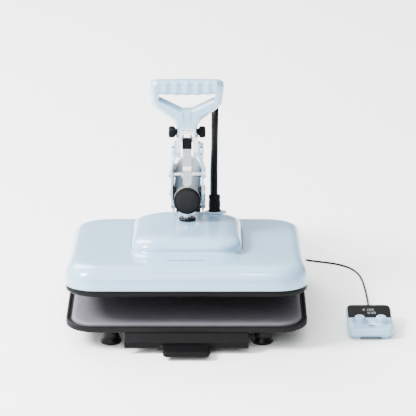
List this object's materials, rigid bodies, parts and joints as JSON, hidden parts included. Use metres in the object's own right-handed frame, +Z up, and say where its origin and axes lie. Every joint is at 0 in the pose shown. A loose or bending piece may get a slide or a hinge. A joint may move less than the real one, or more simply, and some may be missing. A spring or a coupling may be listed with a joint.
{
  "type": "heat press",
  "caption": "Clamshell heat press: lidded hot platen on a rear-hinged tube arm, toggle lever with D grip, pad on a pull-out drawer, corded controller.",
  "frame": {"origin": "centre of the footprint of press and controller together, on the table", "axes": "+X to the right as the user faces the press, +Y to the rear where the arm is hinged, +Z up"},
  "size_m": [0.572, 0.6078, 0.419],
  "materials": {
    "blue_shell": "gloss",
    "blue_metal": "satin",
    "black_plastic": "satin",
    "black_metal": "satin",
    "rubber": "matte",
    "steel": "brushed",
    "aluminium": "satin",
    "dark_aluminium": "satin",
    "silicone": "matte",
    "glass_black": "gloss",
    "wool": "matte",
    "circuit": "satin",
    "heater": "satin"
  },
  "bodies": {
    "base": {"base_plate": "black_metal", "rubber_feet": "rubber", "foot_studs": "black_metal", "outer_slide_rails": "steel", "rear_column": "black_metal", "side_plate_left": "blue_metal", "side_plate_right": "blue_metal", "plate_bolts": "steel", "lever_pivot_bolts": "steel", "hinge_pin": "steel", "spacer_rod": "steel", "limit_switch": "black_plastic", "electronics_box": "black_metal", "box_cover": "black_metal", "power_board": "circuit", "power_inlet": "black_plastic", "cord_gland": "black_plastic", "rear_conduit_gland": "black_plastic", "controller_housing": "blue_shell", "controller_base": "black_plastic", "controller_screen": "glass_black", "controller_board": "circuit", "cord_strain_relief": "rubber", "controller_cord": "rubber"},
    "arm": {"arm_tube": "aluminium", "tube_end_cap": "black_plastic", "screw_saddle": "steel", "pressure_screw": "steel", "link_lug": "steel", "link_pin": "steel", "spring_bracket": "black_metal", "conduit": "black_plastic"},
    "head": {"lid_cover": "blue_shell", "lid_bezel": "black_plastic", "centre_cover": "blue_shell", "heat_platen": "dark_aluminium", "heating_element": "heater", "insulation": "wool", "backing_plate": "steel", "platen_screws": "steel", "gland_flange": "blue_shell", "conduit_gland": "black_plastic"},
    "ring_nut": {"pressure_nut": "black_metal"},
    "lever": {"lever_bracket": "aluminium", "handle_grip": "blue_shell", "crank_pin": "steel"},
    "knob_left": {"clamp_knob_left": "black_plastic"},
    "knob_right": {"clamp_knob_right": "black_plastic"},
    "link": {"toggle_link": "steel", "link_cap": "black_plastic"},
    "gas_cylinder": {"gas_spring_body": "black_metal"},
    "gas_rod": {"gas_spring_rod": "steel"},
    "drawer": {"lower_tray": "black_metal", "silicone_pad": "silicone", "drawer_pull": "black_plastic", "inner_slide_rails": "steel"},
    "rocker": {"power_rocker": "black_plastic"},
    "temperature_dial": {"temperature_knob": "blue_shell"},
    "timer_dial": {"timer_knob": "blue_shell"},
    "button": {"start_button": "blue_shell"}
  },
  "joints": [
    {"name": "arm_hinge", "type": "hinge", "parent": "base", "child": "arm", "pos_m": [-0.076, 0.22112, 0.1725], "axis": [1, 0, 0], "range_deg": [0, 6.2], "stiffness_Nm_per_rad": 130, "springref_deg": -17.19, "deforming": ["conduit"]},
    {"name": "handle_pull", "type": "hinge", "parent": "base", "child": "lever", "pos_m": [-0.076, -0.01887, 0.288], "axis": [1, 0, 0], "range_deg": [0, 117.8]},
    {"name": "link_swing", "type": "hinge", "parent": "lever", "child": "link", "pos_m": [-0.076, -0.01609, 0.3078], "axis": [1, 0, 0], "range_deg": [-104.31, 0.1]},
    {"name": "platen_height", "type": "slide", "parent": "arm", "child": "head", "axis": [0, 0.108, 0.9942], "range_m": [0, 0.005]},
    {"name": "ring_nut_turn", "type": "hinge", "parent": "head", "child": "ring_nut", "pos_m": [-0.076, -0.02673, 0.15949], "axis": [0, 0.108, 0.9942], "range_deg": [0, 901]},
    {"name": "gas_spring_tilt", "type": "hinge", "parent": "base", "child": "gas_cylinder", "pos_m": [-0.076, 0.16912, 0.06], "axis": [1, 0, 0], "range_deg": [-2.19, 0]},
    {"name": "gas_spring_stroke", "type": "slide", "parent": "gas_cylinder", "child": "gas_rod", "axis": [0, -0.0373, 0.9993], "range_m": [-0.00607, 0]},
    {"name": "drawer_slide", "type": "slide", "parent": "base", "child": "drawer", "axis": [0, -1, 0], "range_m": [0, 0.26]},
    {"name": "knob_left_turn", "type": "hinge", "parent": "lever", "child": "knob_left", "pos_m": [-0.076, -0.01388, 0.3213], "axis": [-1, 0, 0], "range_deg": [0, 720]},
    {"name": "knob_right_turn", "type": "hinge", "parent": "lever", "child": "knob_right", "pos_m": [-0.076, -0.01388, 0.3213], "axis": [1, 0, 0], "range_deg": [0, 720]},
    {"name": "power_switch", "type": "hinge", "parent": "base", "child": "rocker", "pos_m": [-0.084, 0.29912, 0.0412], "axis": [1, 0, 0], "range_deg": [0, 12]},
    {"name": "temperature_turn", "type": "hinge", "parent": "base", "child": "temperature_dial", "pos_m": [0.2273, -0.17888, 0.02289], "axis": [0, -0.1025, 0.9947], "range_deg": [-150, 150]},
    {"name": "timer_turn", "type": "hinge", "parent": "base", "child": "timer_dial", "pos_m": [0.2647, -0.17888, 0.02289], "axis": [0, -0.1025, 0.9947], "range_deg": [-150, 150]},
    {"name": "start_press", "type": "slide", "parent": "base", "child": "button", "axis": [0, 0.1025, -0.9947], "range_m": [0, 0.0015], "stiffness_N_per_m": 300}
  ],
  "couplings": [
    {"joint": "handle_pull", "follows": "arm_hinge", "ratio": 18.984},
    {"joint": "link_swing", "follows": "arm_hinge", "ratio": -16.808},
    {"joint": "gas_spring_tilt", "follows": "arm_hinge", "ratio": -0.34511},
    {"joint": "gas_spring_stroke", "follows": "arm_hinge", "m_per_rad": -0.054209},
    {"joint": "ring_nut_turn", "follows": "platen_height", "rad_per_m": 3141.6}
  ]
}
